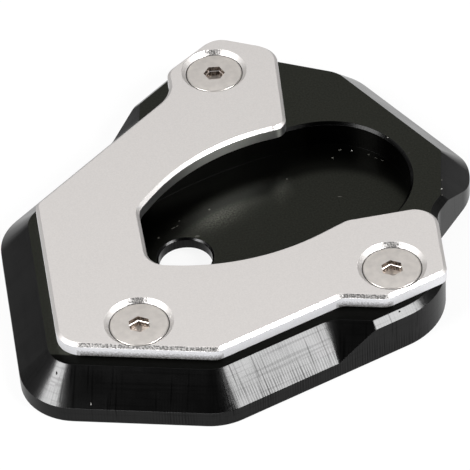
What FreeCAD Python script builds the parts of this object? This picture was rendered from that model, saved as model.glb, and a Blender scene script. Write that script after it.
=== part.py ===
import FreeCAD
import Part
import math
import os
import Sketcher

# Side stand foot enlarger: a bevelled base block with a pocket for the stand's foot,
# a C-shaped clamp plate over the pocket's edge, and three countersunk screws.
# Millimetres. The underside lies on Z = 0 and the plate faces up. X runs square to the
# long straight left side, and the origin is near the middle of the block.

# Driving sizes. Each side of an outline is a straight line: its heading is the way the
# line runs, in degrees, when the outline is followed with the metal on its left, and its
# reach is how far the line lies from the origin.
SIZES = {
    # Heights
    "base_thickness": 10.0,
    "plate_thickness": 3.0,
    "pocket_depth": 6.0,
    # Headings shared by the base and the plate
    "left_heading": -90.0,
    "front_heading": -14.1,
    "flank_heading": 21.2,
    "end_heading": 86.0,
    "waist_heading": 51.2,
    "right_jog_heading": 79.0,
    "shoulder_heading": 120.4,
    "back_heading": 153.0,
    "rear_heading": -138.3,
    "rear_jog_heading": -99.0,
    # Upright wall of the base
    "left_reach": 50.3,
    "front_reach": 55.2,
    "flank_reach": 46.35,
    "end_reach": 40.45,
    "waist_short_of_end": 2.75,
    "shoulder_past_end": 7.55,
    "back_reach": 50.9,
    "rear_reach": 38.2,
    # Bevel round the base: wide along the sides, narrow at the lobes that carry screws
    "wide_bevel": 6.2,
    "narrow_bevel": 1.4,
    "bevel_overrun": 0.6,
    "front_jog_past_screw": 5.6,
    "right_jog_past_end": 1.6,
    "rear_jog_reach": 21.45,
    # Corner radii of the base's top outline
    "corner_radius": 6.0,
    "right_nose_radius": 1.5,
    "crisp_radius": 0.5,
    "inside_radius": 1.0,
    "lobe_radius": 16.0,
    "underside_break": 0.2,
    # Pocket for the stand's foot: two round ends joined by bulged sides
    "toe_x": 19.2,
    "toe_y": 3.4,
    "heel_x": -8.5,
    "heel_y": -5.8,
    "pocket_end_radius": 17.5,
    "pocket_side_radius": 100.0,
    "rim_bevel": 0.6,
    # Drain hole in the pocket's floor
    "drain_x": -12.7,
    "drain_y": -8.1,
    "drain_radius": 5.6,
    "drain_bevel": 0.4,
    "drain_sink": 1.5,
    # Clamp plate, set in from the base's top edge
    "left_inset": 2.1,
    "front_inset": 2.6,
    "flank_inset": 2.1,
    "jog_inset": 3.85,
    "lobe_inset": 1.5,
    "plate_end_reach": 40.1,
    "plate_edge_bevel": 0.7,
    # Clamp plate, rear arm: insets are from the base's back and rear sides
    "arm_end_reach": 11.9,
    "arm_back_inset": 4.9,
    "arm_rear_heading": -141.2,
    "arm_rear_inset": 0.35,
    "arm_jog_reach": 9.45,
    "rear_inset": 0.6,
    # Clamp plate, opening over the pocket: insets are from the reach of its deepest side
    "jaw_heading": -177.3,
    "jaw_reach": 13.55,
    "ramp_heading": -154.5,
    "ramp_inset": 1.9,
    "bay_heading": 166.0,
    "bay_reach": 22.1,
    "bay_end_heading": 90.0,
    "bay_end_inset": 1.0,
    "bay_rise_heading": 50.0,
    "bay_rise_inset": 6.8,
    "bay_top_heading": 8.0,
    "bay_top_inset": 5.75,
    "bay_lower_radius": 45.9,
    "bay_upper_radius": 44.0,
    # Clamp plate, corner radii
    "plate_corner_radius": 5.5,
    "plate_nose_radius": 4.0,
    "plate_jog_radius": 4.0,
    "plate_tip_radius": 2.5,
    "jaw_radius": 5.0,
    "ramp_radius": 4.0,
    "bay_corner_radius": 4.5,
    "arm_corner_radius": 3.0,
    "arm_back_radius": 6.0,
    "arm_tip_radius": 5.0,
    "arm_jog_radius": 4.0,
    "arm_root_radius": 8.0,
    "plate_rear_radius": 2.0,
    # Screws: how far in from the sides nearest to them, and the turn of each hexagon
    "left_screw_from_left": 25.0,
    "left_screw_from_front": 21.1,
    "left_screw_turn": 28.8,
    "right_screw_from_end": 13.2,
    "right_screw_from_flank": 18.25,
    "right_screw_turn": 28.8,
    "rear_screw_from_arm_end": 11.2,
    "rear_screw_from_back": 11.9,
    "rear_screw_turn": 53.8,
    # Screws: a countersunk head with a hexagon socket
    "head_radius": 6.0,
    "head_recess": 0.75,
    "head_land": 0.15,
    "head_round": 0.15,
    "shank_radius": 3.0,
    "screw_length": 10.0,
    "tip_bevel": 0.6,
    "hex_flats": 4.0,
    "hex_depth": 2.4,
    "thread_clearance": 0.05,
    "hole_bottom": 1.4,
}

# Sums for each screw's X and Y
SCREWS = {
    "left": ("left_screw_from_left - left_reach", "left_screw_from_front - front_reach"),
    "right": ("end_reach - right_screw_from_end", "right_screw_from_flank - flank_reach"),
    "rear": ("arm_end_reach - rear_screw_from_arm_end", "back_reach - rear_screw_from_back"),
}


doc = FreeCAD.newDocument("FootEnlarger")
sheet = doc.addObject("Spreadsheet::Sheet", "Sizes")
for row, (alias, value) in enumerate(SIZES.items(), start=1):
    sheet.set(f"A{row}", alias.replace("_", " "))
    sheet.set(f"B{row}", str(value))
    sheet.setAlias(f"B{row}", alias)
doc.recompute()


# Sums of driving sizes, such as "left_reach - wide_bevel"

def formula(terms):
    """The sum as an expression that reads the sheet's cells."""
    return " ".join(word if word in "+-" else f"Sizes.{word}" for word in terms.split())


def amount(terms):
    """The sum's value."""
    total = 0.0
    sign = 1.0
    for word in terms.split():
        if word == "-":
            sign = -1.0
        elif word == "+":
            sign = 1.0
        else:
            total += sign * SIZES[word]
    return total


# Sketches

SHORTEST_SIDE = 0.05     # left straight between two corners that have little room


def new_sketch(body, name, plane_role):
    """An empty sketch on one of the body's own origin planes."""
    sketch = body.newObject("Sketcher::SketchObject", name)
    plane = next(item for item in body.Origin.OriginFeatures if item.Role == plane_role)
    sketch.AttachmentSupport = (plane, [""])
    sketch.MapMode = "FlatFace"
    return sketch


def bind(sketch, constraint, expression):
    """Adds a constraint that takes a size, and ties it to the sheet."""
    index = sketch.addConstraint(constraint)
    sketch.setExpression(f"Constraints[{index}]", expression)


def outline_corners(sides):
    """Where each side's line meets the next one."""
    lines = []
    for heading, reach, inner, _ in sides:
        angle = math.radians(amount(heading))
        distance = amount(reach) * (-1.0 if inner else 1.0)
        lines.append((math.sin(angle), -math.cos(angle), distance))
    corners = []
    for (nx, ny, d), (mx, my, e) in zip(lines, lines[1:] + lines[:1]):
        cross = nx * my - ny * mx
        corners.append(FreeCAD.Vector((d * my - e * ny) / cross, (nx * e - mx * d) / cross, 0))
    return corners


def turns_after(sides):
    """How far the outline turns after each side, in radians."""
    angles = [math.radians(amount(side[0])) for side in sides]
    return [math.remainder(following - angle, 2 * math.pi)
            for angle, following in zip(angles, angles[1:] + angles[:1])]


def fillet_shares(sides, corners, turns):
    """The share of each corner's radius that both of its sides have room for."""
    tangents = [amount(side[3]) * math.tan(abs(turn) / 2) for side, turn in zip(sides, turns)]
    room = []
    for index, corner in enumerate(corners):
        straight = corner.distanceToPoint(corners[index - 1]) - SHORTEST_SIDE
        room.append(min(1.0, straight / (tangents[index - 1] + tangents[index])))
    return [min(own, following) for own, following in zip(room, room[1:] + room[:1])]


def rounded_outline(body, name, height, sides):
    """A closed outline of straight sides, each joined to the next by a tangent arc."""
    sketch = new_sketch(body, name, "XY_Plane")
    sketch.setExpression("AttachmentOffset.Base.z", height)
    count = len(sides)
    angles = [math.radians(amount(side[0])) for side in sides]
    turns = turns_after(sides)
    corners = outline_corners(sides)
    shares = fillet_shares(sides, corners, turns)
    ways = [FreeCAD.Vector(math.cos(angle), math.sin(angle), 0) for angle in angles]
    arcs = []
    starts = []
    ends = []
    for index, (corner, turn) in enumerate(zip(corners, turns)):
        following = (index + 1) % count
        radius = amount(sides[index][3]) * shares[index]
        tangent = radius * math.tan(abs(turn) / 2)
        start = corner - ways[index] * tangent
        side = 1.0 if turn > 0 else -1.0
        across = FreeCAD.Vector(-ways[index].y, ways[index].x, 0)
        first = angles[index] - side * math.pi / 2
        last = first + turn
        circle = Part.Circle(start + across * (side * radius), FreeCAD.Vector(0, 0, 1), radius)
        arcs.append(Part.ArcOfCircle(circle, min(first, last), max(first, last)))
        starts.append(corner + ways[following] * tangent)
        ends.append(start)
    lines = [Part.LineSegment(starts[index - 1], ends[index]) for index in range(count)]
    sketch.addGeometry(lines + arcs, False)
    for index, (heading, reach, _, radius) in enumerate(sides):
        arc = count + index
        following = (index + 1) % count
        near, far = (1, 2) if turns[index] > 0 else (2, 1)
        sketch.addConstraint(Sketcher.Constraint("Tangent", index, 2, arc, near))
        sketch.addConstraint(Sketcher.Constraint("Tangent", arc, far, following, 1))
        rounding = Sketcher.Constraint("Radius", arc, amount(radius) * shares[index])
        bind(sketch, rounding, f"({formula(radius)}) * {shares[index]}")
        bind(sketch, Sketcher.Constraint("Angle", index, angles[index]), formula(heading))
        distance = Sketcher.Constraint("Distance", -1, 1, index, amount(reach))
        bind(sketch, distance, formula(reach))
    return sketch


def circles_sketch(body, name, height, circles):
    """Circles, each given by the sums for its centre and its radius."""
    sketch = new_sketch(body, name, "XY_Plane")
    sketch.setExpression("AttachmentOffset.Base.z", height)
    for x, y, radius in circles:
        centre = FreeCAD.Vector(amount(x), amount(y), 0)
        circle = Part.Circle(centre, FreeCAD.Vector(0, 0, 1), amount(radius))
        index = sketch.addGeometry(circle, False)
        bind(sketch, Sketcher.Constraint("Radius", index, amount(radius)), formula(radius))
        bind(sketch, Sketcher.Constraint("DistanceX", -1, 1, index, 3, centre.x), formula(x))
        bind(sketch, Sketcher.Constraint("DistanceY", -1, 1, index, 3, centre.y), formula(y))
    return sketch


def turned_profile(body, name, points):
    """Half a section beside the vertical axis, each point given by its two sums."""
    sketch = new_sketch(body, name, "XZ_Plane")
    places = [FreeCAD.Vector(amount(x), amount(z), 0) for x, z in points]
    for start, end in zip(places, places[1:] + places[:1]):
        sketch.addGeometry(Part.LineSegment(start, end), False)
    count = len(points)
    for index, (x, z) in enumerate(points):
        sketch.addConstraint(Sketcher.Constraint("Coincident", index, 2, (index + 1) % count, 1))
        if x:
            across = Sketcher.Constraint("DistanceX", -1, 1, index, 1, amount(x))
            bind(sketch, across, formula(x))
        else:
            sketch.addConstraint(Sketcher.Constraint("PointOnObject", index, 1, -2))
        if z:
            upward = Sketcher.Constraint("DistanceY", -1, 1, index, 1, amount(z))
            bind(sketch, upward, formula(z))
        else:
            sketch.addConstraint(Sketcher.Constraint("PointOnObject", index, 1, -1))
    return sketch


# Features

def pad(body, name, sketch, length):
    feature = body.newObject("PartDesign::Pad", name)
    feature.Profile = sketch
    feature.setExpression("Length", length)
    doc.recompute()
    return feature


def pocket(body, name, sketch, depth):
    feature = body.newObject("PartDesign::Pocket", name)
    feature.Profile = sketch
    feature.setExpression("Length", depth)
    doc.recompute()
    return feature


def bevel(body, name, base, edges, size):
    feature = body.newObject("PartDesign::Chamfer", name)
    feature.Base = (base, edges)
    feature.setExpression("Size", size)
    doc.recompute()
    return feature


def level_edges(shape, height):
    """Names and midpoints of the edges that lie flat at a height."""
    found = {}
    for index, edge in enumerate(shape.Edges, start=1):
        middle = edge.valueAt((edge.FirstParameter + edge.LastParameter) / 2)
        levels = [vertex.Z for vertex in edge.Vertexes] + [middle.z]
        if max(abs(level - height) for level in levels) < 1e-4:
            found[f"Edge{index}"] = middle
    return found


def added_edges(before, after, height):
    """Names of the flat edges at a height that a feature has added."""
    known = list(level_edges(before, height).values())
    return [name for name, middle in level_edges(after, height).items()
            if all(middle.distanceToPoint(old) > 1e-3 for old in known)]


# Outlines, each side as (heading, reach, is it inside the part, radius to the next side)

def grown(sides, growth):
    """The outline moved outwards by a bevel's run, its arcs keeping their centres."""
    result = []
    for index, (heading, reach, inner, radius) in enumerate(sides):
        following = amount(sides[(index + 1) % len(sides)][0])
        turn = math.remainder(following - amount(heading), 360.0)
        sign = "+" if turn > 0 else "-"
        wider = " ".join(f"{sign} {word}" for word in growth.split() if word != "+")
        result.append((heading, f"{reach} + {growth}", inner, f"{radius} {wider}"))
    return result


WALL = [
    ("left_heading", "left_reach", False, "corner_radius + wide_bevel"),
    ("front_heading", "front_reach", False, "corner_radius + wide_bevel"),
    ("flank_heading", "flank_reach", False, "lobe_radius"),
    ("end_heading", "end_reach", False,
     "inside_radius + wide_bevel + bevel_overrun - narrow_bevel"),
    ("waist_heading", "end_reach - waist_short_of_end", False, "corner_radius + wide_bevel"),
    ("shoulder_heading", "end_reach + shoulder_past_end", False, "corner_radius + wide_bevel"),
    ("back_heading", "back_reach", False, "corner_radius + wide_bevel"),
    ("rear_heading", "rear_reach", False, "corner_radius + wide_bevel"),
]

INSIDE_CORNER = "inside_radius + wide_bevel + bevel_overrun"
FRONT_JOG = "flank_reach - right_screw_from_flank + front_jog_past_screw"

TOP = [
    ("left_heading", "left_reach - wide_bevel", False, "corner_radius"),
    ("front_heading", "front_reach - wide_bevel", False, "corner_radius"),
    ("flank_heading", "flank_reach - wide_bevel", False, INSIDE_CORNER),
    ("front_heading", FRONT_JOG, False, "crisp_radius"),
    ("flank_heading", "flank_reach - narrow_bevel", False, "lobe_radius - narrow_bevel"),
    ("end_heading", "end_reach - narrow_bevel", False, INSIDE_CORNER),
    ("waist_heading", "end_reach - waist_short_of_end - narrow_bevel", False, "crisp_radius"),
    ("right_jog_heading", "end_reach + right_jog_past_end", False, "right_nose_radius"),
    ("shoulder_heading", "end_reach + shoulder_past_end - wide_bevel", False, "corner_radius"),
    ("back_heading", "back_reach - wide_bevel", False, "corner_radius"),
    ("rear_heading", "rear_reach - narrow_bevel", False, "crisp_radius"),
    ("rear_jog_heading", "rear_jog_reach", False, INSIDE_CORNER),
    ("rear_heading", "rear_reach - wide_bevel", False, "corner_radius"),
]

PLATE = [
    ("left_heading", "left_reach - wide_bevel - left_inset", False, "plate_corner_radius"),
    ("front_heading", "front_reach - wide_bevel - front_inset", False, "plate_nose_radius"),
    ("flank_heading", "flank_reach - wide_bevel - flank_inset", False, "plate_jog_radius"),
    ("front_heading", FRONT_JOG + " - jog_inset", False, "plate_jog_radius"),
    ("flank_heading", "flank_reach - narrow_bevel - lobe_inset", False, "plate_tip_radius"),
    ("end_heading", "plate_end_reach", False, "jaw_radius"),
    ("jaw_heading", "jaw_reach", True, "ramp_radius"),
    ("ramp_heading", "bay_reach - ramp_inset", True, "bay_lower_radius"),
    ("bay_heading", "bay_reach", True, "bay_corner_radius"),
    ("bay_end_heading", "bay_reach - bay_end_inset", True, "bay_corner_radius"),
    ("bay_rise_heading", "bay_reach - bay_rise_inset", True, "bay_upper_radius"),
    ("bay_top_heading", "bay_reach - bay_top_inset", True, "arm_corner_radius"),
    ("end_heading", "arm_end_reach", False, "arm_back_radius"),
    ("back_heading", "back_reach - arm_back_inset", False, "arm_tip_radius"),
    ("arm_rear_heading", "rear_reach - arm_rear_inset", False, "arm_jog_radius"),
    ("left_heading", "arm_jog_reach", False, "arm_root_radius"),
    ("rear_heading", "rear_reach - wide_bevel - rear_inset", False, "plate_rear_radius"),
]


# Screw holes: the bore and the countersink that the head seats in

HEAD_FACE = "base_thickness + plate_thickness - head_recess"
CONE_FOOT = HEAD_FACE + " - head_round - head_land - head_radius + shank_radius"
BORE = "shank_radius + thread_clearance"


def cut_screw_holes(body):
    """One turned cut for each screw, the same in the base and in the plate."""
    lid = "base_thickness + plate_thickness + head_radius"
    mouth = "head_recess + head_round + head_land + head_radius + head_radius"
    points = [("", "hole_bottom"), (BORE, "hole_bottom"),
              (BORE, CONE_FOOT + " + thread_clearance"), (mouth, lid), ("", lid)]
    for screw, (x, y) in SCREWS.items():
        sketch = turned_profile(body, f"{body.Name}_{screw}_hole_section", points)
        sketch.setExpression("AttachmentOffset.Base.x", formula(x))
        sketch.setExpression("AttachmentOffset.Base.z", f"-({formula(y)})")
        groove = body.newObject("PartDesign::Groove", f"{body.Name}_{screw}_hole")
        groove.Profile = sketch
        groove.ReferenceAxis = (sketch, ["V_Axis"])
        groove.Angle = 360
        doc.recompute()


# The shape that the bevel leaves above the wall: it widens downwards at 45 degrees from
# the top outline, and it is wider than the wall below the bevel.

form = doc.addObject("PartDesign::Body", "bevel_form")
form.Label = "bevel_form"
DROP = "wide_bevel + bevel_overrun"
skirt = rounded_outline(form, "bevel_skirt", f"Sizes.base_thickness - {formula(DROP).replace('+', '-')}",
                        grown(TOP, DROP))
crown = rounded_outline(form, "bevel_crown", "Sizes.base_thickness", TOP)
doc.recompute()
slope = form.newObject("PartDesign::AdditiveLoft", "bevel_slope")
slope.Profile = skirt
slope.Sections = [crown]
slope.Ruled = True
doc.recompute()
foot = rounded_outline(form, "bevel_foot", "0", grown(TOP, DROP))
pad(form, "bevel_skirt_block", foot, f"Sizes.base_thickness - {formula(DROP).replace('+', '-')}")


# Base plate

base = doc.addObject("PartDesign::Body", "base_plate")
base.Label = "base_plate"
wall = rounded_outline(base, "base_wall_outline", "0", WALL)
block = pad(base, "base_block", wall, "Sizes.base_thickness")
broken = bevel(base, "base_underside_break", block, list(level_edges(block.Shape, 0)),
               "Sizes.underside_break")
bevelled = base.newObject("PartDesign::Boolean", "base_bevel")
bevelled.setObjects([form])
bevelled.Type = "Common"
doc.recompute()

# The pocket's side arcs touch both end arcs from outside, so each side's centre lies on
# the far side of the line between the ends.
seat = new_sketch(base, "base_pocket_outline", "XY_Plane")
seat.setExpression("AttachmentOffset.Base.z", "Sizes.base_thickness")
toe = FreeCAD.Vector(SIZES["toe_x"], SIZES["toe_y"], 0)
heel = FreeCAD.Vector(SIZES["heel_x"], SIZES["heel_y"], 0)
along = (toe - heel).normalize()
square = FreeCAD.Vector(-along.y, along.x, 0)
end_radius = SIZES["pocket_end_radius"]
side_radius = SIZES["pocket_side_radius"]
half = (toe - heel).Length / 2
offset = math.sqrt((side_radius - end_radius) ** 2 - half ** 2)
heading = math.atan2(along.y, along.x)
lean = math.asin(half / (side_radius - end_radius))
middle = (toe + heel) * 0.5
upright = FreeCAD.Vector(0, 0, 1)
quarter = math.pi / 2
seat.addGeometry([
    Part.ArcOfCircle(Part.Circle(toe, upright, end_radius),
                     heading - quarter + lean, heading + quarter - lean),
    Part.ArcOfCircle(Part.Circle(middle - square * offset, upright, side_radius),
                     heading + quarter - lean, heading + quarter + lean),
    Part.ArcOfCircle(Part.Circle(heel, upright, end_radius),
                     heading + quarter + lean, heading + 3 * quarter - lean),
    Part.ArcOfCircle(Part.Circle(middle + square * offset, upright, side_radius),
                     heading - quarter - lean, heading - quarter + lean),
], False)
for index in range(4):
    seat.addConstraint(Sketcher.Constraint("Tangent", index, 2, (index + 1) % 4, 1))
for index, name in ((0, "toe"), (2, "heel")):
    for kind, axis in (("DistanceX", "x"), ("DistanceY", "y")):
        place = f"{name}_{axis}"
        bind(seat, Sketcher.Constraint(kind, -1, 1, index, 3, SIZES[place]), formula(place))
bind(seat, Sketcher.Constraint("Radius", 0, end_radius), "Sizes.pocket_end_radius")
bind(seat, Sketcher.Constraint("Radius", 1, side_radius), "Sizes.pocket_side_radius")
seat.addConstraint(Sketcher.Constraint("Equal", 0, 2))
seat.addConstraint(Sketcher.Constraint("Equal", 1, 3))
doc.recompute()
sunk = pocket(base, "base_pocket", seat, "Sizes.pocket_depth")
rim = bevel(base, "base_pocket_rim", sunk,
            added_edges(bevelled.Shape, sunk.Shape, SIZES["base_thickness"]), "Sizes.rim_bevel")

FLOOR = "base_thickness - pocket_depth"
drain_circle = circles_sketch(base, "base_drain_circle", formula(FLOOR),
                              [("drain_x", "drain_y", "drain_radius")])
drain = pocket(base, "base_drain", drain_circle, formula(FLOOR))
drain_top = bevel(base, "base_drain_bevel", drain,
                  added_edges(rim.Shape, drain.Shape, amount(FLOOR)), "Sizes.drain_bevel")
bevel(base, "base_drain_sink", drain_top,
      added_edges(rim.Shape, drain_top.Shape, 0), "Sizes.drain_sink")
cut_screw_holes(base)


# Clamp plate

plate = doc.addObject("PartDesign::Body", "clamp_plate")
plate.Label = "clamp_plate"
shape = rounded_outline(plate, "plate_outline", "Sizes.base_thickness", PLATE)
blank = pad(plate, "plate_blank", shape, "Sizes.plate_thickness")
bevel(plate, "plate_edge", blank,
      list(level_edges(blank.Shape, amount("base_thickness + plate_thickness"))),
      "Sizes.plate_edge_bevel")
cut_screw_holes(plate)


# Screws

def make_screw(screw):
    """A countersunk screw, drawn with its head's face at Z = 0 and then put in its hole."""
    body = doc.addObject("PartDesign::Body", f"screw_{screw}")
    body.Label = f"screw_{screw}"
    section = turned_profile(body, f"screw_{screw}_section", [
        ("", ""),
        ("head_radius - head_round", ""),
        ("head_radius", "- head_round"),
        ("head_radius", "- head_land - head_round"),
        ("shank_radius", "shank_radius - head_radius - head_land - head_round"),
        ("shank_radius", "tip_bevel - screw_length"),
        ("shank_radius - tip_bevel", "- screw_length"),
        ("", "- screw_length"),
    ])
    turned = body.newObject("PartDesign::Revolution", f"screw_{screw}_turned")
    turned.Profile = section
    turned.ReferenceAxis = (section, ["V_Axis"])
    turned.Angle = 360
    doc.recompute()
    hexagon = new_sketch(body, f"screw_{screw}_hexagon", "XY_Plane")
    radius = SIZES["hex_flats"] / math.sqrt(3)
    ring = hexagon.addGeometry(Part.Circle(FreeCAD.Vector(), upright, radius), True)
    hexagon.addConstraint(Sketcher.Constraint("Coincident", ring, 3, -1, 1))
    bind(hexagon, Sketcher.Constraint("Radius", ring, radius), "Sizes.hex_flats / sqrt(3)")
    corners = [FreeCAD.Vector(radius * math.cos(step * math.pi / 3),
                              radius * math.sin(step * math.pi / 3), 0) for step in range(6)]
    sides = [hexagon.addGeometry(Part.LineSegment(start, end), False)
             for start, end in zip(corners, corners[1:] + corners[:1])]
    for index, side in enumerate(sides):
        hexagon.addConstraint(Sketcher.Constraint("Coincident", side, 2, sides[(index + 1) % 6], 1))
        hexagon.addConstraint(Sketcher.Constraint("PointOnObject", side, 1, ring))
        if index:
            hexagon.addConstraint(Sketcher.Constraint("Equal", sides[0], side))
    hexagon.addConstraint(Sketcher.Constraint("PointOnObject", sides[0], 1, -1))
    pocket(body, f"screw_{screw}_socket", hexagon, "Sizes.hex_depth")
    x, y = SCREWS[screw]
    body.setExpression("Placement.Base.x", formula(x))
    body.setExpression("Placement.Base.y", formula(y))
    body.setExpression("Placement.Base.z", formula(HEAD_FACE))
    body.setExpression("Placement.Rotation.Angle", f"Sizes.{screw}_screw_turn")
    return body


parts = [base, plate] + [make_screw(screw) for screw in SCREWS]
doc.recompute()


# Checks, then one file for each piece

for item in doc.Objects:
    if "Invalid" in item.State or "Error" in item.State:
        raise RuntimeError(f"{item.Name} failed: {item.State}")
for body in parts:
    if body.Shape.isNull() or not body.Shape.isValid() or len(body.Shape.Solids) != 1:
        raise RuntimeError(f"{body.Label} has no sound solid")

os.makedirs("parts", exist_ok=True)
for body in parts:
    body.Shape.exportStep(f"parts/{body.Label}.step")
    bounds = body.Shape.BoundBox
    print(f"{body.Label}: volume {body.Shape.Volume:.1f}, "
          f"x {bounds.XMin:.2f} to {bounds.XMax:.2f}, y {bounds.YMin:.2f} to {bounds.YMax:.2f}, "
          f"z {bounds.ZMin:.2f} to {bounds.ZMax:.2f}")
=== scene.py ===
import math

import bpy
from mathutils import Matrix, Vector


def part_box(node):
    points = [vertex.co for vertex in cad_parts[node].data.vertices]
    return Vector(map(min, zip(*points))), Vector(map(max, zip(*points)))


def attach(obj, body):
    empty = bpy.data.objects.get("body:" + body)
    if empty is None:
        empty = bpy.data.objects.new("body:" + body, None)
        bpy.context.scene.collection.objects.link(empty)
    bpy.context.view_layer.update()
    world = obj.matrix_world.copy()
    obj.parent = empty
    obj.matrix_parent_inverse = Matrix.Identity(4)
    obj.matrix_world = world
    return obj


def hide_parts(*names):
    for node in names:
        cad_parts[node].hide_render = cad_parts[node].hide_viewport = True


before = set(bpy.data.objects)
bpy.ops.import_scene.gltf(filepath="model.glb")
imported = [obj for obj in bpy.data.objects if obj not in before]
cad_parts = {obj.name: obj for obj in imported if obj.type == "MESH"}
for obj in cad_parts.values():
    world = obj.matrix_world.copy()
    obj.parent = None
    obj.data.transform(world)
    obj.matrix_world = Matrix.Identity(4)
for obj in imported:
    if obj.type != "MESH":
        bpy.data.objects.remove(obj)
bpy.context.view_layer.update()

# Finishes the side stand foot enlarger: a milled base block in black anodised aluminium,
# a satin clamp plate over it and three countersunk screws, on a plain white table.

bl_info = {
    "name": "Side stand foot enlarger",
    "version": (1, 0, 0),
    "blender": (4, 5, 0),
    "location": "View3D > Sidebar > Foot Enlarger",
    "description": "Finishes, screws, dust and stage for a side stand foot enlarger",
    "category": "Object",
}

MM = 0.001
SCREWS = {"screw_left": 28.8, "screw_right": 28.8, "screw_rear": 53.8}  # turns, in degrees
FINISH_MAP = "finish"    # UV map for tool marks, along the edges or round a screw's axis
MILLED = "milled"        # face attribute, 1 where the plate was milled after blasting
SENSOR = 36.0            # width of the camera's sensor, in mm

# Settings that many nodes share, and a Mix node's slots: its two inputs for numbers, its two
# for colours, and its output for a colour.
MULTIPLY = {"operation": "MULTIPLY"}
MAXIMUM = {"operation": "MAXIMUM"}
NUMBERS = {"data_type": "FLOAT"}
COLOURS = {"data_type": "RGBA"}
TINTING = {"data_type": "RGBA", "blend_type": "MULTIPLY", "Factor": 1.0}
NUMBER_A, NUMBER_B = 2, 3
COLOUR_A, COLOUR_B = 6, 7
COLOUR = 2


def linear(code):
    """An sRGB hex colour as linear red, green and blue."""
    shares = [int(code[place:place + 2], 16) / 255 for place in (1, 3, 5)]
    return tuple(share / 12.92 if share <= 0.04045 else ((share + 0.055) / 1.055) ** 2.4
                 for share in shares)


def per_metre(spacing):
    """How many times a pattern with this spacing in mm repeats in a metre."""
    return 1 / (spacing * MM)


# Sizes and colours that a user would change

class FinishColours(bpy.types.PropertyGroup):
    """Colours of the metals, the dust and the table"""
    black: bpy.props.FloatVectorProperty(
        name="Black anodised", description="Reflection of the black-dyed oxide, seen face on",
        subtype="COLOR", size=3, min=0, max=1, default=linear("#3B3B3B"))
    black_flat: bpy.props.FloatVectorProperty(
        name="Black flats", description="The same oxide on the flat tops, a little olive",
        subtype="COLOR", size=3, min=0, max=1, default=linear("#3B3C36"))
    clear: bpy.props.FloatVectorProperty(
        name="Clear anodised", description="Clamp plate's aluminium under its clear oxide",
        subtype="COLOR", size=3, min=0, max=1, default=linear("#D9D6D4"))
    # Painted light: a brighter colour for the plate's sides, standing in for the light they get.
    sides: bpy.props.FloatVectorProperty(
        name="Plate sides", description="Clamp plate's upright sides, brighter than its top",
        subtype="COLOR", size=3, min=0, max=1, default=linear("#F3F3F5"))
    steel: bpy.props.FloatVectorProperty(
        name="Stainless steel", description="Screws' turned steel",
        subtype="COLOR", size=3, min=0, max=1, default=linear("#E4DFDA"))
    dust: bpy.props.FloatVectorProperty(
        name="Dust", description="Pale specks on the black metal",
        subtype="COLOR", size=3, min=0, max=1, default=linear("#B4B3AE"))
    lint: bpy.props.FloatVectorProperty(
        name="Lint", description="Faint lint on the pocket's floor",
        subtype="COLOR", size=3, min=0, max=1, default=linear("#4C4B45"))
    table: bpy.props.FloatVectorProperty(
        name="Table", description="Plain table that the part stands on",
        subtype="COLOR", size=3, min=0, max=1, default=linear("#F4F4F4"))


class FinishSizes(bpy.types.PropertyGroup):
    """Sizes of the edges, the tool marks and the screws"""
    base_edge: bpy.props.FloatProperty(
        name="Base edge", description="How far each sharp edge of the base is rounded back",
        subtype="DISTANCE", unit="LENGTH", precision=5, min=0, default=0.035 * MM)
    plate_edge: bpy.props.FloatProperty(
        name="Plate edge", description="How far each sharp edge of the plate is rounded back",
        subtype="DISTANCE", unit="LENGTH", precision=5, min=0, default=0.06 * MM)
    pass_spacing: bpy.props.FloatProperty(
        name="Cutter pass", description="Spacing of the streaks along an edge",
        subtype="DISTANCE", unit="LENGTH", precision=5, min=0.05 * MM, default=0.55 * MM)
    tick_spacing: bpy.props.FloatProperty(
        name="Tooth mark", description="Spacing of the fine marks across a bevel",
        subtype="DISTANCE", unit="LENGTH", precision=5, min=0.05 * MM, default=0.58 * MM)
    head_round: bpy.props.FloatProperty(
        name="Screw rim", description="Rounding at the rim of each screw's head",
        subtype="DISTANCE", unit="LENGTH", precision=5, min=0, default=0.28 * MM)
    socket_flats: bpy.props.FloatProperty(
        name="Socket", description="Width across the flats of each hexagon socket",
        subtype="DISTANCE", unit="LENGTH", precision=5, min=0, default=4.0 * MM)
    socket_depth: bpy.props.FloatProperty(
        name="Socket depth", description="Depth of each hexagon socket, without its drilled cone",
        subtype="DISTANCE", unit="LENGTH", precision=5, min=0, default=2.4 * MM)
    thread_pitch: bpy.props.FloatProperty(
        name="Thread pitch", description="Distance from one thread to the next",
        subtype="DISTANCE", unit="LENGTH", precision=5, min=0, default=1.0 * MM)


class StageSettings(bpy.types.PropertyGroup):
    """Where the camera and the lamps stand"""
    distance: bpy.props.FloatProperty(
        name="Camera distance", description="From the camera to the point that it looks at",
        subtype="DISTANCE", unit="LENGTH", default=725.6 * MM)
    azimuth: bpy.props.FloatProperty(
        name="Camera azimuth", description="How far the camera stands round from the front",
        subtype="ANGLE", unit="ROTATION", default=math.radians(-6.2))
    elevation: bpy.props.FloatProperty(
        name="Camera elevation", description="How far the camera looks down",
        subtype="ANGLE", unit="ROTATION", default=math.radians(43.31))
    roll: bpy.props.FloatProperty(
        name="Camera roll", description="How far the camera is turned about its own line of sight",
        subtype="ANGLE", unit="ROTATION", default=math.radians(-3.58))
    lens: bpy.props.FloatProperty(
        name="Lens", description="Focal length in mm",
        subtype="DISTANCE_CAMERA", unit="CAMERA", min=1, default=270.9)
    softbox_glow: bpy.props.FloatProperty(
        name="Softboxes", description="Brightness of each softbox, where 1 is the white table",
        min=0, default=17.0)
    overhead_glow: bpy.props.FloatProperty(
        name="Overhead panel", description="Brightness of the panel above the part",
        min=0, default=0.15)
    fill_glow: bpy.props.FloatProperty(
        name="Low fill", description="Brightness of the low lamp in front of the part",
        min=0, default=7.0)
    room_glow: bpy.props.FloatProperty(
        name="Room", description="Brightness of the room behind the part, where 1 is white",
        min=0, default=0.5)


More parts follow.
